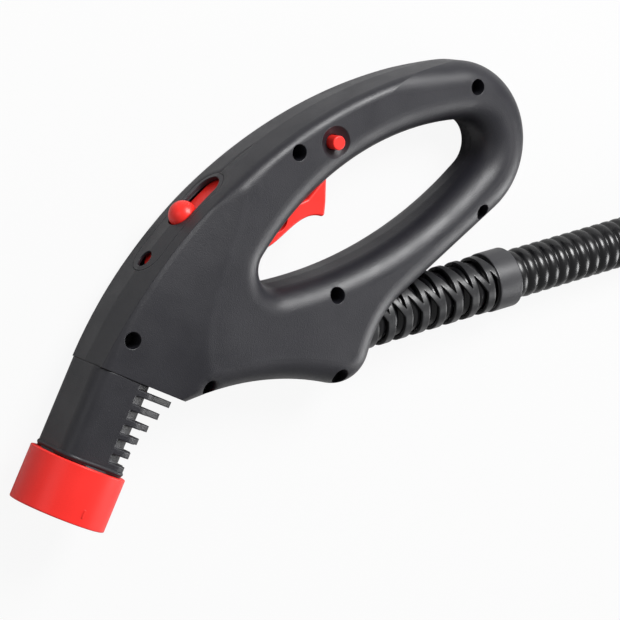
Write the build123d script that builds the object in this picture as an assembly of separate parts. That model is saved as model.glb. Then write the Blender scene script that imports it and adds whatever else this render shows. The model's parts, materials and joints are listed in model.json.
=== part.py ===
# Hand gun and hose of a carpet cleaner: a loop handle with a spray trigger and an accessory socket.
# The gun lies on its side. It is modelled about its mid-plane, X along the handle and Y across it, then
# place() lays its far side on the floor. Millimetres.
from build123d import *
import os
from math import atan, cos, degrees, pi, radians, sin, sqrt, tan

os.makedirs("parts", exist_ok=True)

# Body: side planes that taper to the rear, moulded walls, the spine and the rounded rear and belly
wall = 2.5
half_thick_front = 23.8
half_thick_rear = 16.5
front_x = -131.0
rear_x = 110.0
spine_centre = (100.8, -134.2)
spine_radius = 254.2
spine_arc_start = 80.0
spine_arc_sweep = 95.0
spine_draft = 4.5
spine_edge_radius = 5.0
belly_edge_radius = 12.0
crown_crossing = (70.0, 118.2)
crown_heading = 2.5
lower_bar_point = (106.0, 44.2)
lower_bar_heading = 33.6
throat_corner = (33.0, -4.3)
bulge_corner = (19.6, -41.0)
belly_point = (-38.0, -28.9)
lip_corner = (-72.0, -32.6)
rear_round = 41.3
throat_round = 52.0
bulge_round = 19.0
body_reach = 30.0

# Front of the body: a band along the spine between sloped sides that open out to the flat ones.
# Distance from the seam, half width of the band, slope of the sides, edge radius, room outside the spine
front_sections = [
    (-12.0, 17.7, 0.0, 8.0, 0.4),
    (35.0, 17.7, 0.10, 5.0, 0.4),
    (70.0, 17.8, 0.15, 4.5, 0.4),
    (105.0, 19.5, 0.20, 5.0, 1.5),
    (140.0, 30.0, 0.20, 6.0, 6.0),
]

# Hand opening: where two discs overlap
loop_upper_centre = (84.0, -59.5)
loop_upper_radius = 148.5
loop_lower_centre = (-43.4, 215.0)
loop_lower_radius = 200.3
loop_rear_round = 12.5
loop_front_round = 9.5
loop_draft = 4.0
loop_edge_radius = 12.0

# Nozzle: the axis rises from the mouth, and the radial direction points to the underside
mouth = (-137.0, -80.4)
nozzle_heading = 63.5
seam_station = 69.0
nose_depth = 17.2
nose_half_width = 17.6
nose_edge = 8.0
collar_length = 25.0
collar_radius = 23.3
collar_overhang = 1.0
neck_radius = 18.4
socket_radius = 14.5
socket_depth = 40.0
neck_start = 1.0
end_wall = 4.0
nose_hollow_radius = 11.0
nose_joint_radius = 13.0
nose_flange_radius = 15.0
nose_flange_thick = 2.6
rib_count = 6
rib_first = 64.7
rib_pitch = 7.15
rib_thick = 3.0
rib_tip_first = 32.5
rib_tip_last = 21.4
rib_tip_round = 9.0
groove_radius = 17.0
groove_start = 5.0
retainer_thick = 2.0
retainer_depth = 0.9
collar_step = 1.6
spigot_radius = 4.5
spigot_bore = 2.0
spigot_flange_radius = 7.5
spigot_flange_thick = 2.0
spigot_tail = 12.0
seal_radius = 1.1
socket_seal_station = 31.0
socket_seal_width = 1.8
rib_fade = 1.6
retainer_opening = 6.0
collar_edge = 0.6
tick_station = 5.0
tick_width = 0.9
tick_height = 0.4
tick_length = 4.0

# Fits
gap = 0.3
pin_fit = 0.05
seat = 0.1

# Case screws
screw_places = [
    (-105.8, -0.3),
    (-18.5, 80.0),
    (87.0, 105.8),
    (92.3, 43.0),
    (3.6, 9.8),
    (-66.6, -27.0),
    (7.0, -31.0),
]
counterbore_radius = 4.0
screw_post_radius = 5.2
screw_seat = 7.0
screw_head_radius = 3.4
screw_head_height = 2.4
screw_shank_radius = 1.5
screw_length = 17.0
screw_drive = 0.8
screw_drive_span = 4.1

# Trigger: a red lever hinged at its front inside the upper bar
trigger_pivot = (-24.0, 47.5)
trigger_half_width = 8.0
trigger_travel = 12.0
trigger_steps = 6
trigger_ear_radius = 4.0
trigger_edge = 1.5
trigger_slot_gap = 0.6
trigger_tip = (-30.0, 33.6)
trigger_finger = [(-17.0, 41.2), (-5.5, 47.2)]
trigger_heel = [(3.6, 46.2), (4.4, 54.0), (4.8, 67.0)]
trigger_top = [(-6.0, 56.0), (-20.0, 51.5), (-27.5, 48.5), (-30.5, 40.0)]
trigger_tip_round = 1.6
trigger_hub_half = 4.2
pivot_pin_radius = 1.5
pivot_post_radius = 3.6
pivot_post_inner = 9.0
pivot_pin_half = 13.0
switch_size = (20.0, 10.0, 7.0)
switch_place = (-17.0, 66.5)
switch_heading = 33.0
switch_button = (3.0, 4.5, 4.0)
switch_button_x = 2.0
switch_peg_spread = 5.0
switch_peg_radius = 1.3
switch_peg_shoulder = 2.8
switch_peg_rise = 1.5
spring_radius = 2.7
spring_wire = 0.4
spring_turns = 3

# Slide control on the spine: an inlaid bezel with a slot and a window, a red plate and a ball knob
slide_x = -64.4
bezel_length = 60.8
bezel_width = 20.6
bezel_thick = 1.6
bezel_offset = -12.1
bezel_gap = 0.25
bezel_ledge = 2.0
bezel_ledge_cut = 14.0
window_offset = -36.0
window_radius = 4.3
plate_start = -37.5
plate_end = 19.0
plate_width = 15.0
plate_depth = 3.7
plate_thick = 2.0
knob_radius = 6.8
knob_room = 1.2
knob_front_gap = 0.7
knob_height = -1.7
slide_travel = 16.0
runner_places = (-27.5, -0.5, 22.5)
runner_thick = 2.0
runner_height = 6.0

# Lock button: a cross pin through the upper bar
lock_place = (2.5, 83.5)
lock_radius = 3.4
lock_dish_radius = 8.0
lock_dish_depth = 4.0
lock_proud = 2.5
lock_far_end = -13.2
lock_travel = 5.0
lock_post_radius = 6.0
lock_shoulder = 2.0
lock_shoulder_radius = 5.0
lock_edge = 0.6

# Hose outlet: axis, cage of slanted bands, ring
hose_heading = 8.4
hose_origin = (17.4, -9.6)
hose_radius = 13.0
hose_groove_radius = 11.3
hose_bore = 9.6
hose_rib_pitch = 6.84
cage_radius = 15.0
cage_inner_radius = 13.2
cage_tail_radius = 14.1
cage_flange_radius = 18.0
cage_flange_thick = 3.0
cage_sleeve = 7.0
cage_bands = 8
cage_pitch = 10.3
cage_first = 11.7
band_thick = 3.0
band_foot = 4.4
band_slant = 31.0
cage_end = 88.6
ring_length = 14.0
ring_radius = 15.6
ring_lip = 1.6
ring_edge = 0.5
dimple_radius = 1.6
dimple_offset = 2.0
dimple_station = 8.2
cage_clamp = 2.5
band_overlap = 0.4
adapter_start = -8.0
adapter_length = 14.0
adapter_flange_radius = 11.0
steam_radius = 3.2
steam_bore = 2.0
steam_rise = 22.0
steam_run = 55.0
steam_bend = 9.0
wire_radius = 1.0
wire_spread = 1.6
wire_height = 7.5
wire_lead = 26.0
wire_corner = (-58.0, 20.0, 0.0)
wire_run = 50.0
wire_bend = 9.0
rib_rise = 1.3
rib_valley = 1.0

# Hose on the floor, in the finished frame, with its coil and the plug at its end
run_first = 100.0
run_points = [(281.3, 26.3, 13.8), (320.5, 57.3, 14.1)]
corner_share = 0.45
run_ribs = 29
coil_ribs = 156
coil_lead = 26.0
coil_radius = 150.0
coil_step = 14.0
coil_end_radius = 104.0
tie_width = 14.0
tie_thick = 0.7
cuff_length = 18.0
cuff_radius = 13.9
cuff_grooves = 4
cuff_groove = 1.2
plug_length = 38.0
plug_radius = 14.0
plug_edge = 1.2
button_length = 14.0
button_width = 8.0
button_well = 5.0
button_height = 4.2
button_travel = 1.8
plug_spigot_radius = 5.0
plug_spigot_length = 14.0
spigot_seat = 8.0
plug_seal_station = 9.0
plug_seal_radius = 1.2
contact_spread = 8.5
contact_radius = 1.2
contact_length = 8.0
contact_seat = 6.0
root_ribs = 15
root_start = 0.0


# Stations along the nozzle axis that follow from the sizes above
socket_end = neck_start + socket_depth
nose_end = seam_station + wall + seat + nose_flange_thick
retainer_start = neck_start + 1.0
plug_end = cuff_length + plug_length
button_station = cuff_length + plug_length / 2

# Slot of the slide control: the knob and its travel, with room round it
slot_width = 2 * (knob_radius + knob_room)
slot_length = slot_width + slide_travel
knob_offset = knob_front_gap + knob_radius - slot_length / 2

# Directions and frames
nozzle_dir = Vector(cos(radians(nozzle_heading)), sin(radians(nozzle_heading)), 0)
radial_dir = Vector(nozzle_dir.Y, -nozzle_dir.X, 0)
taper_slope = (half_thick_front - half_thick_rear) / (rear_x - front_x)
taper_angle = degrees(atan(taper_slope))


def half_thick(x):
    return half_thick_front - (x - front_x) * taper_slope


def nozzle_plane(station):
    origin = Vector(mouth[0], mouth[1], 0) + nozzle_dir * station
    return Plane(origin=origin, x_dir=radial_dir, z_dir=nozzle_dir)


def spine_point(x):
    return Vector(x, spine_centre[1] + sqrt(spine_radius**2 - (x - spine_centre[0]) ** 2), 0)


slide_origin = spine_point(slide_x)
slide_up = (slide_origin - Vector(spine_centre[0], spine_centre[1], 0)).normalized()
slide_dir = Vector(slide_up.Y, -slide_up.X, 0)
slide_plane = Plane(origin=slide_origin, x_dir=slide_dir, z_dir=slide_up)
hose_dir = Vector(cos(radians(hose_heading)), sin(radians(hose_heading)), 0)
hose_up = Vector(-hose_dir.Y, hose_dir.X, 0)


def hose_plane(station):
    origin = Vector(hose_origin[0], hose_origin[1], 0) + hose_dir * station
    return Plane(origin=origin, x_dir=hose_up, z_dir=hose_dir)


# Solids stand on their base, not about their middle
standing = (Align.CENTER, Align.CENTER, Align.MIN)


def tube(plane, start, end, outer, inner=0.0):
    solid = plane.offset(start) * Cylinder(outer, end - start, align=standing)
    if inner:
        solid -= plane.offset(start) * Cylinder(inner, end - start, align=standing)
    return solid


# Body form: one half, from the mid-plane to the near side, drawn in by an inset for the cavity
def cut_side(block, inset):
    origin = (front_x, 0, half_thick_front - inset)
    side = Plane(origin=origin, z_dir=(sin(radians(taper_angle)), 0, cos(radians(taper_angle))))
    return split(block, bisect_by=side, keep=Keep.BOTTOM)


def spine_form(inset):
    with BuildSketch() as face:
        with BuildLine():
            arc = CenterArc(spine_centre, spine_radius - inset, spine_arc_start, spine_arc_sweep)
            corner = (arc.position_at(0).X, arc.position_at(1).Y)
            Polyline(arc @ 1, corner, arc @ 0)
        make_face()
    block = cut_side(extrude(face.sketch, body_reach, taper=spine_draft), inset)
    rim = block.faces().sort_by(Axis.Z)[-1].edges()
    rim = [e for e in rim if (e @ 0.5).Y > 0 and (e @ 0.5).X < rear_x]
    return fillet(rim, spine_edge_radius - inset)


def rear_form(inset):
    crown = (cos(radians(crown_heading)), sin(radians(crown_heading)))
    lower = (cos(radians(lower_bar_heading)), sin(radians(lower_bar_heading)))
    across = (lower_bar_point[0] - crown_crossing[0], lower_bar_point[1] - crown_crossing[1])
    reach = (across[0] * lower[1] - across[1] * lower[0]) / (crown[0] * lower[1] - crown[1] * lower[0])
    vertex = (crown_crossing[0] + reach * crown[0], crown_crossing[1] + reach * crown[1])
    far_x = 2 * front_x
    far_top = (far_x, crown_crossing[1] + (far_x - crown_crossing[0]) * crown[1] / crown[0])
    with BuildSketch() as face:
        with BuildLine():
            belly = ThreePointArc(lip_corner, belly_point, bulge_corner)
            lip_end = belly @ 0 + (belly % 0) * (far_x - lip_corner[0]) / (belly % 0).X
            Polyline(far_top, lip_end, belly @ 0)
            Polyline(belly @ 1, throat_corner, vertex, far_top)
        make_face()
        rounds = ((vertex, rear_round), (throat_corner, throat_round), (bulge_corner, bulge_round))
        for place, radius in rounds:
            fillet(face.vertices().sort_by_distance((place[0], place[1], 0))[0], radius)
    outline = offset(face.sketch, -inset, kind=Kind.INTERSECTION) if inset else face.sketch
    block = cut_side(extrude(outline, body_reach), inset)
    rim = block.faces().sort_by(Axis.Z)[-1].edges()
    rim = [e for e in rim if (e @ 0.5).X > front_x - body_reach]
    return fillet(rim, belly_edge_radius - inset)


def front_form(inset):
    seam = nozzle_plane(seam_station + inset)
    spine_side = nozzle_plane(seam_station).origin - radial_dir * nose_depth - Vector(*spine_centre, 0)
    start = pi - atan(-spine_side.Y / spine_side.X)
    reach = spine_radius - 4 * body_reach
    faces = []
    for distance, half, slope, edge, room in front_sections:
        turn = start - distance / spine_radius
        outward = Vector(cos(turn), sin(turn), 0)
        origin = Vector(*spine_centre, 0) + outward * spine_radius
        plane = Plane(origin=origin, x_dir=-outward, z_dir=(outward.Y, -outward.X, 0))
        near, low = half - inset, inset - room
        wide = near + slope * (reach - low)
        with BuildSketch(plane) as face:
            with BuildLine():
                Polyline((reach, -wide), (low, -near), (low, near), (reach, wide), close=True)
            make_face()
            fillet(face.vertices().sort_by_distance((0, 0, 0))[:2], edge - inset)
        faces.append(face.sketch)
    rear = plane * Pos(-body_reach, 0, 0) * Box(*[2 * reach] * 3, align=(Align.MIN, Align.CENTER, Align.MIN))
    return split(loft(faces), bisect_by=seam, keep=Keep.TOP) + rear


def loop_form(outset):
    with BuildSketch() as face:
        with Locations(loop_upper_centre):
            Circle(loop_upper_radius + outset)
        with Locations(loop_lower_centre):
            Circle(loop_lower_radius + outset, mode=Mode.INTERSECT)
        corners = face.vertices().sort_by(Axis.X)
        fillet(corners[-1], loop_rear_round + outset)
        fillet(face.vertices().sort_by(Axis.X)[0], loop_front_round + outset)
    return extrude(face.sketch, body_reach, taper=-loop_draft)


def half_body(inset):
    form = spine_form(inset) & rear_form(inset) & front_form(inset)
    form = form - loop_form(inset)
    side = form.faces().filter_by(lambda f: f.normal_at().Z > 0.99).sort_by(SortBy.AREA)[-1]
    return fillet(side.inner_wires()[0].edges(), loop_edge_radius - inset)


def both_halves(half):
    return half + mirror(half, about=Plane.XY)


def post(place, radius, start, end):
    return Pos(place[0], place[1], start) * Cylinder(radius, end - start, align=standing)


def turned(outline, angle):
    return outline.rotate(Axis((trigger_pivot[0], trigger_pivot[1], 0), (0, 0, 1)), angle)


# Trigger outline at rest, with its ear round the pivot
def trigger_outline():
    with BuildSketch() as face:
        with BuildLine():
            Polyline(*trigger_heel, *trigger_top, trigger_tip)
            Spline(trigger_tip, *trigger_finger, trigger_heel[0])
        make_face()
        for place in (trigger_tip, trigger_heel[0]):
            fillet(face.vertices().sort_by_distance((place[0], place[1], 0))[0], trigger_tip_round)
        with Locations(trigger_pivot):
            Circle(trigger_ear_radius)
    return face.sketch


def slide_stadium(length, width, offset_x, bottom, top):
    with BuildSketch(slide_plane.offset(bottom)) as face:
        with Locations((offset_x, 0)):
            SlotOverall(length, width)
    return extrude(face.sketch, top - bottom)


def spine_cylinder(depth):
    return Pos(*spine_centre, 0) * Cylinder(spine_radius - depth, 4 * body_reach)


# Shells: two halves that meet at the mid-plane
def lock_dish_sphere():
    radius = (lock_dish_radius**2 + lock_dish_depth**2) / (2 * lock_dish_depth)
    height = half_thick(lock_place[0]) - lock_dish_depth + radius
    return Pos(lock_place[0], lock_place[1], height) * Sphere(radius)


def shell_half(outer, cavity, near):
    shell = outer - cavity
    deep = body_reach
    posts = [post(p, screw_post_radius, 0, deep) for p in screw_places]
    posts.append(post(trigger_pivot, pivot_post_radius, pivot_post_inner, deep))
    stop = lock_shoulder + gap + (0 if near else lock_travel)
    posts.append(post(lock_place, lock_post_radius, stop, deep))
    dish_floor = half_thick(lock_place[0]) - lock_dish_depth - wall
    posts.append(post(lock_place, lock_dish_radius + wall, dish_floor, deep))
    for x in runner_places:
        depth = plate_depth + plate_thick + seat
        size = (runner_thick, deep, runner_height + depth)
        runner = slide_plane * Pos(x, 0, 0) * Box(*size, align=(Align.CENTER, Align.MAX, Align.MAX))
        posts.append(runner & spine_cylinder(depth))
    walls = [hose_plane(s) for s in (cage_flange_thick + seat, -cage_clamp - seat)]
    for plane in walls:
        posts.append(plane * Cylinder(cage_flange_radius + 2 * wall, cage_clamp, align=standing))
    if not near:
        for x in (-switch_peg_spread, switch_peg_spread):
            peg = switch_frame() * Pos(x, switch_peg_rise, 0)
            place = (peg.position.X, peg.position.Y)
            posts.append(post(place, switch_peg_radius, 0, deep))
            posts.append(post(place, switch_peg_shoulder, switch_size[2] / 2 + seat, deep))
    wide = 2 * (rear_x - front_x)
    room = outer & extrude(Plane.XY * Rectangle(wide, wide), deep)
    for piece in posts:
        shell += cut_side(piece, 0) & room
    for p in screw_places:
        bore = screw_shank_radius + pin_fit
        shell -= post(p, bore, 0, deep if near else screw_length)
        if near:
            shell -= post(p, counterbore_radius, screw_seat, deep)
    shell -= post(trigger_pivot, pivot_pin_radius + pin_fit, 0, pivot_pin_half)
    shell -= post(lock_place, lock_radius + gap, 0, deep)
    shell -= lock_dish_sphere()
    blade = offset(trigger_outline(), trigger_slot_gap)
    for index in range(trigger_steps + 1):
        swung = turned(blade, trigger_travel * index / trigger_steps)
        shell -= extrude(swung, trigger_half_width + trigger_slot_gap)
    pocket = (bezel_length + 2 * bezel_gap, bezel_width + 2 * bezel_gap, bezel_offset)
    shell -= slide_stadium(*pocket, -deep, deep) - spine_form(bezel_thick)
    ledge = (bezel_length - 2 * bezel_ledge, bezel_width - 2 * bezel_ledge, bezel_offset)
    shell -= slide_stadium(*ledge, -bezel_ledge_cut, deep)
    shell -= tube(nozzle_plane(0), seam_station - wall, seam_station + 2 * wall, nose_joint_radius + seat)
    shell -= tube(hose_plane(0), -cage_clamp - wall, cage_sleeve + rear_x, cage_radius + seat)
    shell -= tube(hose_plane(0), -seat, cage_flange_thick + seat, cage_flange_radius + seat)
    return shell


# Nose tube: the accessory socket, its neck under the collar, and the ribs of the underside
def nose_tube():
    axis = nozzle_plane(0)
    start = collar_length + gap
    with BuildSketch(axis.offset(start)) as face:
        RectangleRounded(2 * nose_depth, 2 * nose_half_width, nose_edge)
    barrel = extrude(face.sketch, seam_station - start)
    solid = barrel
    solid += tube(axis, neck_start, start, neck_radius)
    solid += tube(axis, seam_station, seam_station + wall + seat, nose_joint_radius)
    solid += tube(axis, seam_station + wall + seat, nose_end, nose_flange_radius)
    span = rib_pitch - rib_thick
    half_space = Box(rear_x, rear_x, rear_x, align=(Align.MIN, Align.CENTER, Align.MIN))
    under = axis * Pos(groove_start, 0, 0) * half_space
    for index in range(rib_count):
        station = rib_first - index * rib_pitch
        top = min(station + rib_thick / 2 + span, seam_station)
        solid -= tube(axis, station + rib_thick / 2, top, rear_x, groove_radius) & under
    for index in range(rib_count):
        station = rib_first - index * rib_pitch
        tip = rib_tip_last + (rib_tip_first - rib_tip_last) * (1 - index / (rib_count - 1)) ** rib_fade
        with BuildSketch(nozzle_plane(station - rib_thick / 2)) as plate:
            Circle(nose_half_width)
            with Locations((tip - rib_tip_round, 0)):
                Circle(rib_tip_round)
            make_hull()
        solid += extrude(plate.sketch, rib_thick) & (under + barrel)
    solid -= tube(axis, neck_start, socket_end, socket_radius)
    groove = socket_seal_width + 2 * seat
    solid -= tube(axis.offset(socket_seal_station), -groove / 2, groove / 2, socket_radius + groove)
    solid -= tube(axis, socket_end + end_wall, nose_end, nose_hollow_radius)
    solid -= tube(axis, socket_end, socket_end + end_wall, spigot_radius + seat)
    retainer_end = retainer_start + retainer_thick
    solid -= tube(axis, retainer_start, retainer_end, rear_x, neck_radius - retainer_depth)
    return solid


def lock_collar():
    axis = nozzle_plane(0)
    solid = tube(axis, -collar_overhang, collar_length, collar_radius, neck_radius + gap)
    step_end = retainer_start + retainer_thick + gap
    solid -= tube(axis, -collar_overhang, step_end, neck_radius + collar_step + gap)
    rims = [e for e in solid.edges().filter_by(GeomType.CIRCLE) if e.radius > collar_radius - gap]
    solid = fillet(rims, collar_edge)
    tick = axis * Pos(0, -collar_radius, tick_station) * Box(tick_width, 2 * tick_height, tick_length)
    return solid + (tick - tube(axis, 0, collar_length, collar_radius - tick_height))


def collar_retainer():
    axis = nozzle_plane(0)
    inner = neck_radius - retainer_depth + seat
    outer = neck_radius + collar_step - gap
    ring = tube(axis, retainer_start + seat, retainer_start + retainer_thick - seat, outer, inner)
    opening = axis * Pos(neck_radius, 0, 0) * Box(neck_radius, retainer_opening, 4 * rib_pitch)
    return ring - opening


def steam_nozzle():
    axis = nozzle_plane(0)
    start = socket_end + end_wall + 2 * seal_radius
    solid = tube(axis, socket_end, seam_station + spigot_tail, spigot_radius, spigot_bore)
    return solid + tube(axis, start, start + spigot_flange_thick, spigot_flange_radius, spigot_bore)


def nozzle_seal():
    plane = nozzle_plane(socket_end + end_wall + seal_radius)
    return plane * Torus(spigot_radius + seal_radius + seat, seal_radius)


def socket_seal():
    inner = socket_radius + seat
    half = socket_seal_width / 2
    return tube(nozzle_plane(socket_seal_station), -half, half, inner + socket_seal_width, inner)


# Trigger, pin, spring and switch
def trigger():
    solid = extrude(trigger_outline(), trigger_half_width, both=True)
    top = solid.faces().sort_by(Axis.Z)
    solid = fillet(top[-1].edges() + top[0].edges(), trigger_edge)
    room = post(trigger_pivot, trigger_ear_radius + wall, trigger_hub_half, body_reach)
    solid -= room + mirror(room, about=Plane.XY)
    return solid - post(trigger_pivot, pivot_pin_radius + pin_fit, -body_reach, body_reach)


def pivot_pin():
    return post(trigger_pivot, pivot_pin_radius, -pivot_pin_half + seat, pivot_pin_half - seat)


def trigger_spring():
    height = trigger_half_width - trigger_hub_half - 2 * spring_wire
    path = Helix(height / spring_turns, height, spring_radius)
    start = path @ 0
    section = Plane(origin=start, x_dir=(1, 0, 0), z_dir=path % 0) * Circle(spring_wire)
    coil = sweep(section, path=path)
    return Pos(trigger_pivot[0], trigger_pivot[1], trigger_hub_half + spring_wire) * coil


def switch_frame():
    return Pos(switch_place[0], switch_place[1], 0) * Rot(0, 0, switch_heading)


def microswitch():
    body = switch_frame() * Box(*switch_size)
    edge = Pos(switch_button_x, -switch_size[1] / 2, 0)
    body += switch_frame() * edge * Box(*switch_button, align=(Align.CENTER, Align.MAX, Align.CENTER))
    for x in (-switch_peg_spread, switch_peg_spread):
        hole = Cylinder(switch_peg_radius + pin_fit, 2 * switch_size[2])
        body -= switch_frame() * Pos(x, switch_peg_rise, 0) * hole
    return body


# Slide control
def spine_skin(inset):
    return both_halves(spine_form(inset))


def slide_bezel():
    blank = slide_stadium(bezel_length, bezel_width, bezel_offset, -body_reach, body_reach)
    solid = (blank & spine_skin(0)) - spine_skin(bezel_thick)
    solid -= slide_stadium(slot_length, slot_width, 0, -body_reach, body_reach)
    hole = slide_plane * Pos(window_offset, 0, 0) * Cylinder(window_radius, 2 * body_reach)
    return solid - hole


def slide_plate():
    middle = (plate_start + plate_end) / 2
    length = plate_end - plate_start
    blank = slide_stadium(length, plate_width, middle, -body_reach, body_reach)
    return (blank & spine_cylinder(plate_depth)) - spine_cylinder(plate_depth + plate_thick)


def slide_knob():
    ball = slide_plane * Pos(knob_offset, 0, knob_height) * Sphere(knob_radius)
    return ball - spine_cylinder(plate_depth)


# Lock button: a shouldered cross pin
def lock_button():
    tip = half_thick(lock_place[0]) + lock_proud
    solid = post(lock_place, lock_radius, lock_far_end, tip)
    solid = fillet(solid.edges().filter_by(GeomType.CIRCLE), lock_edge)
    return solid + post(lock_place, lock_shoulder_radius, -lock_shoulder, lock_shoulder)


# Case screws: pan heads with a cross recess
def case_screws():
    pieces = []
    for place in screw_places:
        screw = post(place, screw_head_radius, screw_seat, screw_seat + screw_head_height)
        screw += post(place, screw_shank_radius, screw_seat - screw_length, screw_seat)
        top = Pos(place[0], place[1], screw_seat + screw_head_height)
        for width, depth in ((screw_drive_span, screw_drive), (screw_drive, screw_drive_span)):
            screw -= top * Box(width, depth, screw_head_height)
        pieces.append(screw)
    return pieces


# Hose outlet
def strain_relief_cage():
    axis = hose_plane(0)
    end = cage_end + ring_length - ring_lip - seat
    wide = 4 * cage_radius

    def block(start, stop, side=Align.CENTER):
        box = Box(wide, wide, stop - start, align=(side, Align.CENTER, Align.MIN))
        return axis.offset(start) * box

    half_space = Box(wide, wide, 4 * end, align=(Align.MIN, Align.CENTER, Align.CENTER))
    upper = axis * Pos(-band_overlap, 0, 0) * half_space
    blocks = [block(0, cage_sleeve)]
    for index in range(cage_bands + 1):
        station = cage_first + index * cage_pitch
        slab = hose_plane(station - band_thick / 2) * Rot(0, band_slant, 0) * Box(wide, wide, band_thick)
        blocks.append(slab & upper)
        if index < cage_bands:
            edge = station + band_thick / 2
            blocks.append(block(edge - band_thick, edge))
            blocks.append(block(edge - band_foot, edge - band_overlap, Align.MAX))
    pattern = blocks[0].fuse(*blocks[1:])
    bands = tube(axis, 0, cage_end, cage_radius, cage_inner_radius) & pattern
    bands += tube(axis, cage_end - band_overlap, end, cage_tail_radius, cage_inner_radius)
    return bands + tube(axis, 0, cage_flange_thick, cage_flange_radius, cage_inner_radius)


def cage_ring():
    axis = hose_plane(0)
    end = cage_end + ring_length
    solid = tube(axis, cage_end, end, ring_radius, cage_tail_radius + seat)
    solid += tube(axis, end - ring_lip, end, ring_radius, cage_inner_radius + seat)
    outer = [e for e in solid.edges().filter_by(GeomType.CIRCLE) if e.radius > ring_radius - seat]
    solid = fillet(outer, ring_edge)
    dimple = Pos(-dimple_offset, -ring_radius, 0) * Sphere(dimple_radius)
    return solid - hose_plane(cage_end + dimple_station) * dimple


def hose_adapter():
    axis = hose_plane(0)
    solid = tube(axis, adapter_start, root_start - seat, adapter_flange_radius, steam_bore)
    return solid + tube(axis, root_start - seat, adapter_length, hose_bore - seat, steam_bore)


def steam_tube():
    start = nozzle_plane(seam_station + spigot_tail).origin
    end = hose_plane(adapter_start).origin
    points = [start, start + nozzle_dir * steam_rise, end - hose_dir * steam_run, end]
    path = FilletPolyline(*points, radius=steam_bend)
    section = Plane(origin=path @ 0, x_dir=(0, 0, 1), z_dir=path % 0)
    return sweep(section * Circle(steam_radius), path=path) - sweep(section * Circle(steam_bore), path=path)


def switch_wires():
    along = Vector(cos(radians(switch_heading)), sin(radians(switch_heading)), 0)
    start = Vector(switch_place[0], switch_place[1], 0) - along * (switch_size[0] / 2)
    end = hose_plane(adapter_start).origin + hose_up * wire_height
    pieces = []
    for z in (-wire_spread, wire_spread):
        lift = Vector(0, 0, z)
        points = [start, start - along * wire_lead, Vector(*wire_corner), end - hose_dir * wire_run, end]
        path = FilletPolyline(*[p + lift for p in points], radius=wire_bend)
        section = Plane(origin=path @ 0, x_dir=(0, 0, 1), z_dir=path % 0)
        pieces.append(sweep(section * Circle(wire_radius), path=path))
    return pieces


# Ribbed hose: a ruled loft through four circles a rib, less its bore
def ribbed(frames, bores):
    outer = loft([frame * Circle(radius) for frame, radius in frames], ruled=True)
    inner = loft([frame * Circle(hose_bore) for frame in bores], ruled=True)
    return outer - inner


def rib_profile():
    fall = hose_rib_pitch - rib_valley
    return (
        (0.0, hose_groove_radius),
        (rib_rise, hose_radius),
        (fall - rib_rise, hose_radius),
        (fall, hose_groove_radius),
    )


def hose_root():
    frames = []
    for index in range(root_ribs):
        for step, radius in rib_profile():
            frames.append((hose_plane(root_start + index * hose_rib_pitch + step), radius))
    end = hose_plane(root_start + root_ribs * hose_rib_pitch)
    frames.append((end, hose_groove_radius))
    return ribbed(frames, [hose_plane(root_start), end])


# The object's own pieces, about the mid-plane
def gun_nodes():
    outer = half_body(0)
    cavity = half_body(wall)
    return {
        "near_shell": shell_half(outer, cavity, True),
        "far_shell": mirror(shell_half(outer, cavity, False), about=Plane.XY),
        "case_screws": case_screws(),
        "nose_tube": nose_tube(),
        "lock_collar": lock_collar(),
        "collar_retainer": collar_retainer(),
        "steam_nozzle": steam_nozzle(),
        "nozzle_seal": nozzle_seal(),
        "socket_seal": socket_seal(),
        "steam_tube": steam_tube(),
        "trigger": trigger(),
        "trigger_pin": pivot_pin(),
        "trigger_spring": trigger_spring(),
        "microswitch": microswitch(),
        "switch_wires": switch_wires(),
        "slide_bezel": slide_bezel(),
        "slide_plate": slide_plate(),
        "slide_knob": slide_knob(),
        "lock_button": lock_button(),
        "strain_relief_cage": strain_relief_cage(),
        "cage_ring": cage_ring(),
        "hose_adapter": hose_adapter(),
        "hose_root": hose_root(),
    }


# Lays the far side on the floor, with the origin under the middle of the gun's box
def solids(node):
    return [s for piece in (node if isinstance(node, list) else [node]) for s in piece.solids()]


def laid(pieces):
    far_side = Vector(front_x, 0, -half_thick_front)
    tilt = Rot(0, taper_angle, 0)
    drop = (tilt * Pos(far_side)).position.Z
    return [Pos(0, 0, -drop) * tilt * piece for piece in pieces]


gun = {name: laid(solids(node)) for name, node in gun_nodes().items()}
box = Compound([s for pieces in gun.values() for s in pieces]).bounding_box()
centre = Pos(-(box.min.X + box.max.X) / 2, -(box.min.Y + box.max.Y) / 2, 0)
gun = {name: [centre * s for s in pieces] for name, pieces in gun.items()}
shift = centre.position
root_end = root_start + root_ribs * hose_rib_pitch
hose_exit = (centre * laid([Pos(hose_plane(root_end).origin)])[0]).position
exit_dir = (centre * laid([Pos(hose_plane(root_end + 1).origin)])[0]).position - hose_exit
print("gun box", box.size, "shift", shift, "hose exit", hose_exit)


# Hose on the floor: the stretch from the ring, then a coil of one turn and a quarter held by a strap
def corner_radius(before, at, after):
    turn = (at - before).get_angle(after - at)
    return corner_share * min((at - before).length, (after - at).length) / tan(radians(turn / 2))


def run_path():
    points = [hose_exit, hose_exit + exit_dir * run_first] + [Vector(*p) for p in run_points]
    print("hose run points", [tuple(round(v, 2) for v in p) for p in points])
    radii = [corner_radius(*points[i : i + 3]) for i in range(len(points) - 2)]
    diameters = [round(r / hose_radius / 2, 1) for r in radii]
    print("hose run radii", [round(r) for r in radii], "in diameters", diameters)
    return FilletPolyline(*points, radius=radii)


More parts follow.
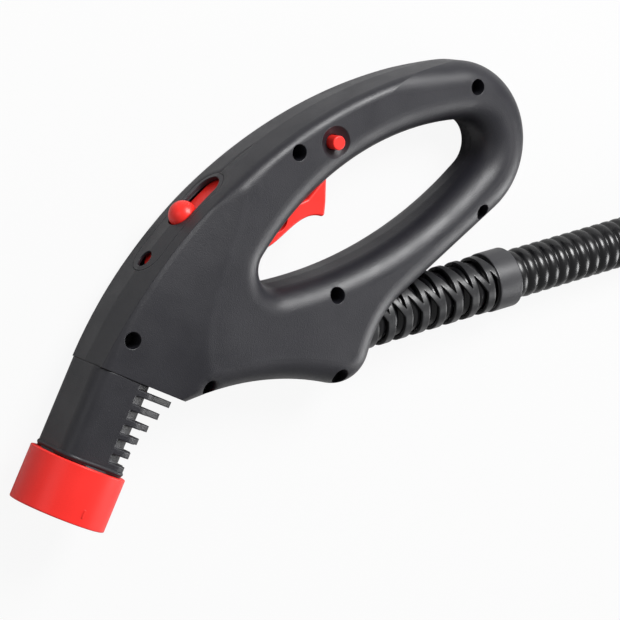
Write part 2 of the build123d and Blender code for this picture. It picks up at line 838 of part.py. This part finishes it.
def coil_path():
    start = Vector(*run_points[-1])
    before = Vector(*run_points[-2])
    heading = (start - before).normalized()
    lead = Line(start, start + heading * coil_lead)
    first = JernArc(lead @ 1, heading, coil_radius, -180)
    second = JernArc(first @ 1, first % 1, coil_radius - coil_step, -180)
    third = JernArc(second @ 1, second % 1, coil_end_radius, -90)
    tail = Line(third @ 1, third @ 1 + (third % 1) * coil_lead)
    return Wire([lead, first, second, third, tail])


def ribbed_along(path, ribs):
    length = path.length
    pitch = length / ribs

    def frame(distance):
        along = path.tangent_at(distance / length)
        across = along.cross(Vector(0, 0, 1))
        return Plane(origin=path.position_at(distance / length), x_dir=across, z_dir=along)

    frames = []
    for index in range(ribs):
        for step, radius in rib_profile():
            frames.append((frame(index * pitch + step * pitch / hose_rib_pitch), radius))
    frames.append((frame(length), hose_groove_radius))
    return ribbed(frames, [frame(index * pitch) for index in range(ribs + 1)])


def coil_gap(path):
    count = 400
    points = [path.position_at(i / count) for i in range(count + 1)]
    apart = int(count * 2 * pi * coil_end_radius / 2 / path.length)
    least = min((points[i] - points[j]).length for i in range(count) for j in range(i + apart, count + 1))
    return least - 2 * hose_radius


def end_plane(path):
    return Plane(origin=path.position_at(1), x_dir=(0, 0, 1), z_dir=path.tangent_at(1))


# Hose end: a plug with a push button, two contact pins and a sealed spigot
def beside(axis, x, y):
    return Plane(origin=axis.from_local_coords(Vector(x, y, 0)), x_dir=axis.x_dir, z_dir=axis.z_dir)


def plug_cuff(axis):
    solid = tube(axis, 0, cuff_length, cuff_radius, hose_bore)
    for index in range(cuff_grooves):
        station = cuff_length * (index + 1) / (cuff_grooves + 1)
        solid -= tube(axis, station, station + cuff_groove, 2 * cuff_radius, cuff_radius - cuff_groove)
    return solid


def plug_body(axis):
    solid = tube(axis, cuff_length, plug_end, plug_radius)
    rims = solid.edges().filter_by(GeomType.CIRCLE)
    solid = fillet(rims, plug_edge)
    well = (2 * button_well, button_width + 2 * gap, button_length + 2 * gap)
    solid -= axis * Pos(plug_radius, 0, button_station) * Box(*well)
    solid -= tube(axis, plug_end - spigot_seat, plug_end, plug_spigot_radius + seat)
    for side in (-1, 1):
        hole = beside(axis, 0, side * contact_spread)
        solid -= tube(hole, plug_end - contact_seat, plug_end, contact_radius + seat)
    return solid


def plug_button(axis):
    start = plug_radius - button_well + button_travel + seat
    block = Box(button_height, button_width, button_length, align=(Align.MIN, Align.CENTER, Align.CENTER))
    return axis * Pos(start, 0, button_station) * block


def plug_seal(axis):
    return axis.offset(plug_end + plug_seal_station) * Torus(plug_spigot_radius, plug_seal_radius)


def plug_spigot(axis):
    tip = plug_end + plug_spigot_length
    solid = tube(axis, plug_end - spigot_seat, tip, plug_spigot_radius, steam_bore)
    return solid - plug_seal(axis)


def plug_contacts(axis):
    sides = [beside(axis, 0, side * contact_spread) for side in (-1, 1)]
    start = plug_end - contact_seat
    return [tube(side, start, plug_end + contact_length, contact_radius) for side in sides]


# Strap round the two turns that lie side by side where the coil starts
def coil_tie(path):
    middle = Vector(*run_points[-1]) + (path % 0) * coil_lead
    inward = (path % 0).cross(Vector(0, 0, 1))
    axis = Plane(origin=middle + inward * coil_step, x_dir=inward, z_dir=path % 0)
    span = 2 * coil_step + 2 * hose_radius + 2 * gap
    with BuildSketch(axis) as face:
        SlotOverall(span + 2 * tie_thick, 2 * hose_radius + 2 * gap + 2 * tie_thick)
        SlotOverall(span, 2 * hose_radius + 2 * gap, mode=Mode.SUBTRACT)
    return extrude(face.sketch, tie_width / 2, both=True)


run = run_path()
coil = coil_path()
plug_axis = end_plane(coil)
hose = {
    "hose_run": ribbed_along(run, run_ribs),
    "hose_coil": ribbed_along(coil, coil_ribs),
    "coil_tie": coil_tie(coil),
    "plug_cuff": plug_cuff(plug_axis),
    "plug_body": plug_body(plug_axis),
    "plug_button": plug_button(plug_axis),
    "plug_spigot": plug_spigot(plug_axis),
    "plug_seal": plug_seal(plug_axis),
    "plug_contacts": plug_contacts(plug_axis),
}
root_length = root_ribs * hose_rib_pitch
print("hose length", round(root_length + run.length + coil.length))
print("hose root, run and coil", round(root_length), round(run.length), round(coil.length))
print("least gap between the coil's turns", round(coil_gap(coil), 2))

gun.update({name: solids(node) for name, node in hose.items()})
for name, pieces in gun.items():
    export_step(pieces[0] if len(pieces) == 1 else Compound(pieces), "parts/" + name + ".step")
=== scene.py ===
# Looks of the carpet cleaner hand gun and its hose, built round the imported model.
import json
from itertools import accumulate
from math import cos, pi, radians, sin
import bpy
from mathutils import Matrix, Vector


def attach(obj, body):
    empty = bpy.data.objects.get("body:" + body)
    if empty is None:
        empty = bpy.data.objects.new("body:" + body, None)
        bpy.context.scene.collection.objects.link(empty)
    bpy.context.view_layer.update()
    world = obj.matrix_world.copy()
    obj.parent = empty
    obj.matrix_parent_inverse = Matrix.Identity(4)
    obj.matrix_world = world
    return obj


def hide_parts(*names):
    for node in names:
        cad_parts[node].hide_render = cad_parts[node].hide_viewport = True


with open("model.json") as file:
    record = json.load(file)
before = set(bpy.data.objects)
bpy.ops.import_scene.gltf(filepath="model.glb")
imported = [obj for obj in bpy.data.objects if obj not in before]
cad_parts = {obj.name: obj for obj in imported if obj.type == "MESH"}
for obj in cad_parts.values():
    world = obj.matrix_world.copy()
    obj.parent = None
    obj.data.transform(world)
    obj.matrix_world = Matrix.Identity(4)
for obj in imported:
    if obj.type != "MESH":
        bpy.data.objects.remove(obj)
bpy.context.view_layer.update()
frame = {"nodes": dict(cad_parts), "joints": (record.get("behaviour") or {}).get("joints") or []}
nodes = frame["nodes"]
joints = {j["name"]: j for j in frame["joints"]}
scene = bpy.context.scene
scene.view_settings.view_transform = "Standard"

# Directions of the gun, from its joints: across the mid-plane, up the nozzle's axis, out to the spine
mid_normal = Vector(joints["trigger_pull"]["axis"]).normalized()
mid_point = Vector(joints["trigger_pull"]["pos_m"])
nozzle_dir = Vector(joints["collar_twist"]["axis"]).normalized()
mouth = Vector(joints["collar_twist"]["pos_m"])
spine_side = mid_normal.cross(nozzle_dir)


# Camera at the photograph's viewing angle, with the image's up along +Y
EYE = Vector((-0.46342, 0.17145, 0.84276))
TARGET = Vector((0.01769, -0.01358, 0.01982))
SENSOR_WIDTH = 36.0
LENS = 115.6
CLIP_START = 0.01

camera = bpy.data.objects.new("camera", bpy.data.cameras.new("camera"))
scene.collection.objects.link(camera)
back = (EYE - TARGET).normalized()
right = Vector((0, 1, 0)).cross(back).normalized()
turn = Matrix((right, back.cross(right), back)).transposed()
camera.matrix_world = Matrix.Translation(EYE) @ turn.to_4x4()
camera.data.sensor_width = SENSOR_WIDTH
camera.data.lens = LENS
camera.data.clip_start = CLIP_START
scene.camera = camera


# Shader nodes
def node(tree, kind, inputs=(), **settings):
    made = tree.nodes.new("ShaderNode" + kind)
    for key, value in settings.items():
        setattr(made, key, value)
    for key, value in dict(inputs).items():
        if isinstance(value, bpy.types.NodeSocket):
            tree.links.new(value, made.inputs[key])
        else:
            made.inputs[key].default_value = value
    return made


def math_node(tree, operation, first, second=0.0):
    return node(tree, "Math", {0: first, 1: second}, operation=operation).outputs[0]


def dot(tree, first, second):
    return node(tree, "VectorMath", {0: first, 1: second}, operation="DOT_PRODUCT").outputs["Value"]


def colour_mix(tree, factor, first, second):
    """Mix of two colours; on the Mix node these are inputs 6 and 7 and output 2."""
    inputs = {0: factor, 6: first, 7: second}
    return node(tree, "Mix", inputs, data_type="RGBA", blend_type="MIX").outputs[2]


def ramp(tree, value, start, end, low=0.0, high=1.0):
    span = {"Value": value, "From Min": start, "From Max": end, "To Min": low, "To Max": high}
    return node(tree, "MapRange", span).outputs[0]


def along(tree, place, normal, point):
    """Distance from the plane through a point, positive on its normal's side."""
    return math_node(tree, "SUBTRACT", dot(tree, place, tuple(normal)), normal.dot(point))


def rgba(colour, share=1.0):
    return (colour[0] * share, colour[1] * share, colour[2] * share, 1.0)


def new_material(name):
    made = bpy.data.materials.new(name)
    made.use_nodes = True
    tree = made.node_tree
    place = node(tree, "TexCoord").outputs["Object"]
    return made, tree, tree.nodes["Principled BSDF"], place


# Plastics: a base tone with mottling, a fine grain, paler edges that are partly wear and partly a
# painted highlight, and thin dark lines
MOTTLE_SCALE = 60.0
SPECK_NOISE = (0.45, 0.75)
SPECK_SHARE = 0.6
SPECK_GAIN = 4
ROUGH_NOISE = (0.3, 0.7)
ROUGH_SPREAD = 0.05
BEVEL_SAMPLES = 8
EDGE_BEND = (0.995, 0.85)
EDGE_TONE = 1.8
LINE_TONE = 0.12
LINE_FADE = 0.00012


def groove(tree, place, normal, point, half_width, fade=None):
    """Mask of a thin line where a plane cuts the surface, faded along another direction."""
    apart = math_node(tree, "ABSOLUTE", along(tree, place, normal, point))
    mask = ramp(tree, apart, half_width, half_width + LINE_FADE, 1.0, 0.0)
    if fade:
        direction, start, end = fade
        faded = ramp(tree, along(tree, place, direction, point), start, end)
        mask = math_node(tree, "MULTIPLY", mask, faded)
    return mask


def bevel_radius(tree, place, round_edge, blend):
    """Radius that softens edges in shading, larger near the blend's plane."""
    if not blend:
        return round_edge
    normal, point, width, radius = blend
    apart = math_node(tree, "ABSOLUTE", along(tree, place, normal, point))
    return ramp(tree, apart, width, 2 * width, radius, round_edge)


def plastic(name, colour, rough, grain, depth, mottle=0.06, lines=(), edge=0.0, round_edge=0.0006,
            specular=0.5, blend=None):
    made, tree, shader, place = new_material(name)
    grains = {"Vector": place, "Scale": grain, "Detail": 2.0, "Roughness": 0.55}
    fine = node(tree, "TexNoise", grains).outputs[0]
    clouds = {"Vector": place, "Scale": MOTTLE_SCALE, "Detail": 3.0}
    broad = node(tree, "TexNoise", clouds).outputs[0]
    tone = colour_mix(tree, broad, rgba(colour, 1 - mottle), rgba(colour, 1 + mottle))
    speck = ramp(tree, fine, *SPECK_NOISE, 0.0, SPECK_SHARE)
    tone = colour_mix(tree, speck, tone, rgba(colour, 1 + SPECK_GAIN * mottle))
    bump = node(tree, "Bump", {"Height": fine, "Strength": 1.0, "Distance": depth})
    # Paler colour where the bevel's normal bends away from the surface's: a painted highlight along the
    # edges, partly wear
    if edge:
        radius = bevel_radius(tree, place, round_edge, blend)
        rounded = node(tree, "Bevel", {"Radius": radius}, samples=BEVEL_SAMPLES).outputs[0]
        bent = dot(tree, rounded, node(tree, "NewGeometry").outputs["Normal"])
        wear_and_highlight = ramp(tree, bent, *EDGE_BEND, 0.0, edge)
        tone = colour_mix(tree, wear_and_highlight, tone, rgba(colour, EDGE_TONE))
        tree.links.new(rounded, bump.inputs["Normal"])
    for line in lines:
        tone = colour_mix(tree, groove(tree, place, *line), tone, rgba(colour, LINE_TONE))
    roughness = ramp(tree, broad, *ROUGH_NOISE, rough - ROUGH_SPREAD, rough + ROUGH_SPREAD)
    tree.links.new(tone, shader.inputs["Base Color"])
    tree.links.new(roughness, shader.inputs["Roughness"])
    tree.links.new(bump.outputs[0], shader.inputs["Normal"])
    shader.inputs["Specular IOR Level"].default_value = specular
    return made


# Metals: one noise for tone, roughness and scratches
METAL_TONES = (0.75, 1.15)
METAL_ROUGH = (-0.08, 0.1)
SCRATCH_STRENGTH = 0.5
SCRATCH_DEPTH = 0.00004


def metal(name, colour, rough, scratch):
    made, tree, shader, place = new_material(name)
    scratches = {"Vector": place, "Scale": scratch, "Detail": 4.0}
    fine = node(tree, "TexNoise", scratches).outputs[0]
    tone = colour_mix(tree, fine, *(rgba(colour, share) for share in METAL_TONES))
    roughness = ramp(tree, fine, *ROUGH_NOISE, *(rough + change for change in METAL_ROUGH))
    relief = {"Height": fine, "Strength": SCRATCH_STRENGTH, "Distance": SCRATCH_DEPTH}
    bump = node(tree, "Bump", relief)
    tree.links.new(tone, shader.inputs["Base Color"])
    tree.links.new(roughness, shader.inputs["Roughness"])
    tree.links.new(bump.outputs[0], shader.inputs["Normal"])
    shader.inputs["Metallic"].default_value = 1.0
    return made


# Lines on the shells: the parting line, and the seam between shells and nose, on the spine's side
PARTING_HALF_WIDTH = 0.00008
SEAM_STATION = 0.069
SEAM_HALF_WIDTH = 0.00012
SEAM_FADE = (0.002, 0.010)
seam_point = mouth + nozzle_dir * SEAM_STATION
parting = (mid_normal, mid_point, PARTING_HALF_WIDTH)
seam = (nozzle_dir, seam_point, SEAM_HALF_WIDTH, (spine_side, *SEAM_FADE))

# Softening of the line on the side where the slanted front meets the flat rear
SIDE_TOP = Vector((-0.0307, 0.0501, 0.0))
SIDE_BOTTOM = Vector((-0.0494, -0.0330, 0.0))
SIDE_WIDTH = 0.007
SIDE_RADIUS = 0.006
side_turn = (SIDE_TOP - SIDE_BOTTOM).cross(mid_normal).normalized()
side_blend = (side_turn, SIDE_TOP, SIDE_WIDTH, SIDE_RADIUS)

CHARCOAL = (0.011, 0.0108, 0.0145)
RED = (0.80, 0.024, 0.018)
BODY = {"colour": CHARCOAL, "rough": 0.43, "grain": 1900.0, "mottle": 0.08, "edge": 0.05}
charcoal = plastic("charcoal_grain", depth=0.00009, lines=(parting, seam), blend=side_blend, **BODY)
nose_grey = plastic("nose_grain", depth=0.00009, lines=(seam,), round_edge=0.0011, **BODY)
bezel_grey = plastic("bezel_grain", depth=0.00008, **BODY)
red = plastic("red_satin", RED, rough=0.36, grain=2600.0, depth=0.00002, mottle=0.03,
              edge=0.15, round_edge=0.0005, specular=0.35)
cage_grey = plastic("cage_satin", (0.015, 0.0152, 0.0165), rough=0.34, grain=2000.0, depth=0.00003,
                    mottle=0.08, edge=0.3, round_edge=0.0009)
ring_grey = plastic("ring_satin", (0.032, 0.032, 0.035), rough=0.4, grain=1500.0, depth=0.00005,
                    mottle=0.08, edge=0.2, round_edge=0.0007)
switch_grey = plastic("switch_black", (0.02, 0.02, 0.022), rough=0.45, grain=1800.0, depth=0.00004)
hose_black = plastic("hose_black", (0.0035, 0.0035, 0.0042), rough=0.27, grain=900.0, depth=0.00003,
                     mottle=0.15)
rubber = plastic("rubber_black", (0.014, 0.014, 0.014), rough=0.62, grain=1400.0, depth=0.00006,
                 mottle=0.15, specular=0.35)
wire_black = plastic("wire_black", (0.018, 0.018, 0.02), rough=0.4, grain=1200.0, depth=0.00003)
brass = metal("brass_turned", (0.72, 0.50, 0.20), rough=0.3, scratch=700.0)
steel = metal("steel_plated", (0.32, 0.32, 0.34), rough=0.38, scratch=900.0)
steel_dark = metal("steel_black", (0.03, 0.03, 0.033), rough=0.45, scratch=900.0)

finishes = {
    charcoal: ("near_shell", "far_shell"),
    nose_grey: ("nose_tube",),
    bezel_grey: ("slide_bezel",),
    red: ("lock_collar", "trigger", "slide_plate", "slide_knob", "lock_button", "plug_button"),
    cage_grey: ("strain_relief_cage", "plug_cuff", "plug_body", "hose_adapter"),
    ring_grey: ("cage_ring",),
    switch_grey: ("microswitch",),
    rubber: ("coil_tie", "nozzle_seal", "socket_seal", "plug_seal", "steam_tube"),
    wire_black: ("switch_wires",),
    brass: ("steam_nozzle", "plug_spigot", "plug_contacts"),
    steel: ("trigger_pin", "trigger_spring", "collar_retainer"),
    steel_dark: ("case_screws",),
}
for finish, names in finishes.items():
    for name in names:
        nodes[name].data.materials.clear()
        nodes[name].data.materials.append(finish)


# Line of the hose: the route's points in metres, then the coil's turns as more points of the same spline
EXIT = (0.136535, -0.008195, 0.016223)
ROUTE = [(0.235420, 0.006410, 0.013230), (0.281300, 0.026300, 0.013800), (0.320500, 0.057300, 0.014100)]
STRAIGHT = 0.55
LEAD = 0.026
COIL_ARCS = ((0.150, 180), (0.136, 180), (0.104, 90))
COIL_STEP = 15
TAIL = 0.026
LINE_STEPS = 16


def coil_points(start, before):
    """Control points of the coil's arcs, each the corner of two tangents a step apart."""
    way = (start - before).normalized()
    place = start + way * LEAD
    points = []
    for radius, sweep in COIL_ARCS:
        inward = Vector((way.y, -way.x, 0))
        centre = place + inward * radius
        reach = radius / cos(radians(COIL_STEP / 2))
        for step in range(sweep // COIL_STEP):
            angle = radians((step + 0.5) * COIL_STEP)
            points.append(centre + (way * sin(angle) - inward * cos(angle)) * reach)
        angle = radians(sweep)
        place = centre + (way * sin(angle) - inward * cos(angle)) * radius
        way = way * cos(angle) + inward * sin(angle)
    points.append(place + way * TAIL)
    return points


def spline_points(points):
    data = bpy.data.curves.new("hose_line", "CURVE")
    data.dimensions = "3D"
    data.resolution_u = LINE_STEPS
    line = data.splines.new("NURBS")
    line.points.add(len(points) - 1)
    for spot, point in zip(line.points, points):
        spot.co = (*point, 1.0)
    line.order_u = 3
    line.use_endpoint_u = True
    piece = bpy.data.objects.new("hose_line", data)
    scene.collection.objects.link(piece)
    mesh = bpy.data.meshes.new_from_object(piece)
    found = [v.co.copy() for v in mesh.vertices]
    bpy.data.objects.remove(piece)
    bpy.data.meshes.remove(mesh)
    return found


def distances(line):
    """Distance of each point from the start, measured along the line."""
    return list(accumulate(((b - a).length for a, b in zip(line, line[1:])), initial=0.0))


def stations(line, count):
    """Points and directions along a line, evenly spaced."""
    lengths = distances(line)
    found, index = [], 0
    for step in range(count + 1):
        reach = lengths[-1] * step / count
        while index < len(line) - 2 and lengths[index + 1] < reach:
            index += 1
        share = (reach - lengths[index]) / (lengths[index + 1] - lengths[index])
        found.append(line[index].lerp(line[index + 1], share))
    ahead = [found[min(i + 1, count)] - found[max(i - 1, 0)] for i in range(count + 1)]
    return found, [d.normalized() for d in ahead]


def add_piece(name, vertices, faces, material):
    """New piece from its mesh, smooth apart from the faces that close its ends."""
    mesh = bpy.data.meshes.new(name)
    mesh.from_pydata([tuple(v) for v in vertices], [], faces)
    for face in mesh.polygons:
        face.use_smooth = len(face.vertices) == 4
    mesh.materials.append(material)
    piece = bpy.data.objects.new(name, mesh)
    scene.collection.objects.link(piece)
    return piece


# Ribs of the hose
HOSE_RADIUS = 0.013
ROOT_LENGTH = 0.1026
GROOVE_RADIUS = 0.0113
GROOVE_SHARE = 0.14
RIB_PITCH = 0.00684
RIB_FULLNESS = 2.1
RIB_RINGS = 12
RIB_SIDES = 36


def rib_height(phase):
    """0 in the groove between two ribs, 1 on a rib's crown."""
    if phase < GROOVE_SHARE / 2 or phase > 1 - GROOVE_SHARE / 2:
        return 0.0
    across = (phase - GROOVE_SHARE / 2) / (1 - GROOVE_SHARE) * 2 - 1
    return (1 - abs(across) ** RIB_FULLNESS) ** 0.5


def ribbed_tube(name, line, material):
    ribs = round(distances(line)[-1] / RIB_PITCH)
    centres, ways = stations(line, ribs * RIB_RINGS)
    vertices, faces = [], []
    for index, (centre, way) in enumerate(zip(centres, ways)):
        height = rib_height(index % RIB_RINGS / RIB_RINGS)
        radius = GROOVE_RADIUS + (HOSE_RADIUS - GROOVE_RADIUS) * height
        side = way.cross(Vector((0, 0, 1))).normalized()
        up = side.cross(way)
        for k in range(RIB_SIDES):
            angle = 2 * pi * k / RIB_SIDES
            vertices.append(centre + (side * cos(angle) + up * sin(angle)) * radius)
    for ring in range(len(centres) - 1):
        for k in range(RIB_SIDES):
            a, b = ring * RIB_SIDES + k, ring * RIB_SIDES + (k + 1) % RIB_SIDES
            faces.append((a, b, b + RIB_SIDES, a + RIB_SIDES))
    last = (len(centres) - 1) * RIB_SIDES
    faces.append(tuple(reversed(range(RIB_SIDES))))
    faces.append(tuple(range(last, last + RIB_SIDES)))
    return add_piece(name, vertices, faces, material), centres


route = [Vector(p) for p in (EXIT, *ROUTE)]
route.insert(1, route[0].lerp(route[1], STRAIGHT))
hose_line = spline_points(route + coil_points(route[-1], route[-2]))
hose, hose_path = ribbed_tube("hose", hose_line, hose_black)
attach(hose, "gun")
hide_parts("hose_run", "hose_coil")

# Stretch of the hose inside the cage
exit_way = (route[1] - route[0]).normalized()
inner, _ = ribbed_tube("hose_inner", [route[0] - exit_way * ROOT_LENGTH, route[0]], hose_black)
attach(inner, "gun")
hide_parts("hose_root")


# Bead round the nose, just above the collar
NOSE_DEPTH = 0.0172
NOSE_HALF_WIDTH = 0.0176
NOSE_EDGE = 0.008
BEAD_STATION = 0.0269
BEAD_RADIUS = 0.0012
BEAD_SINK = 0.0006
BEAD_SIDES = 12
CORNERS = ((1, 1), (-1, 1), (-1, -1), (1, -1))
CORNER_STEPS = 8


def nose_bead():
    centre = mouth + nozzle_dir * BEAD_STATION
    deep = spine_side * (NOSE_DEPTH - NOSE_EDGE)
    wide = mid_normal * (NOSE_HALF_WIDTH - NOSE_EDGE)
    rims = []
    for quarter, (x, y) in enumerate(CORNERS):
        for step in range(CORNER_STEPS + 1):
            angle = (quarter + step / CORNER_STEPS) * pi / 2
            outward = spine_side * cos(angle) + mid_normal * sin(angle)
            rims.append((centre + deep * x + wide * y + outward * (NOSE_EDGE - BEAD_SINK), outward))
    vertices, faces = [], []
    for place, outward in rims:
        for k in range(BEAD_SIDES):
            angle = 2 * pi * k / BEAD_SIDES
            vertices.append(place + (outward * cos(angle) + nozzle_dir * sin(angle)) * BEAD_RADIUS)
    for ring in range(len(rims)):
        after = (ring + 1) % len(rims)
        for k in range(BEAD_SIDES):
            beside = (k + 1) % BEAD_SIDES
            corners = (ring, beside), (ring, k), (after, k), (after, beside)
            faces.append(tuple(r * BEAD_SIDES + c for r, c in corners))
    return add_piece("nose_bead", vertices, faces, nose_grey)


bead = nose_bead()
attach(bead, "gun")


# Floor, lights and world: floor and world are white where the camera sees them
FLOOR_SIZE = 12.0
FLOOR_HEIGHT = -0.0002
FLOOR_GREY = (0.45, 0.45, 0.45, 1.0)
FLOOR_GLOW = 0.92
WORLD_LIGHT = 0.34
WHITE = (1.0, 1.0, 1.0, 1.0)


def seen_directly(tree):
    rays = node(tree, "LightPath").outputs
    return math_node(tree, "MAXIMUM", rays["Is Camera Ray"], rays["Is Transmission Ray"])


def floor_material():
    made = bpy.data.materials.new("floor_pale")
    made.use_nodes = True
    tree = made.node_tree
    tree.nodes.remove(tree.nodes["Principled BSDF"])
    matt = node(tree, "BsdfDiffuse", {"Color": FLOOR_GREY}).outputs[0]
    glow = node(tree, "Emission", {"Color": WHITE, "Strength": 1.0}).outputs[0]
    share = math_node(tree, "MULTIPLY", seen_directly(tree), FLOOR_GLOW)
    mixed = node(tree, "MixShader", {0: share, 1: matt, 2: glow}).outputs[0]
    tree.links.new(mixed, tree.nodes["Material Output"].inputs["Surface"])
    return made


bpy.ops.mesh.primitive_plane_add(size=FLOOR_SIZE, location=(0, 0, FLOOR_HEIGHT))
floor = bpy.context.object
floor.name = "floor"
floor.data.materials.append(floor_material())


def softbox(name, place, aim, size, power):
    data = bpy.data.lights.new(name, "AREA")
    data.shape = "RECTANGLE"
    data.size, data.size_y = size
    data.energy = power
    lamp = bpy.data.objects.new(name, data)
    scene.collection.objects.link(lamp)
    lamp.location = place
    lamp.rotation_euler = (Vector(place) - Vector(aim)).to_track_quat("Z", "Y").to_euler()


softbox("key", place=(0.35, 0.70, 0.87), aim=(0.0, 0.0, 0.02), size=(0.5, 0.5), power=20.0)
softbox("left", place=(-0.9, 0.35, 0.5), aim=(-0.05, 0.0, 0.02), size=(0.5, 0.5), power=0.8)
softbox("right", place=(1.0, -0.35, 0.3), aim=(0.1, 0.0, 0.02), size=(0.4, 0.7), power=6.0)

world = bpy.data.worlds.new("studio")
scene.world = world
world.use_nodes = True
sky = world.node_tree
background = sky.nodes["Background"].inputs
background["Color"].default_value = WHITE
sky.links.new(ramp(sky, seen_directly(sky), 0.0, 1.0, WORLD_LIGHT, 1.0), background["Strength"])
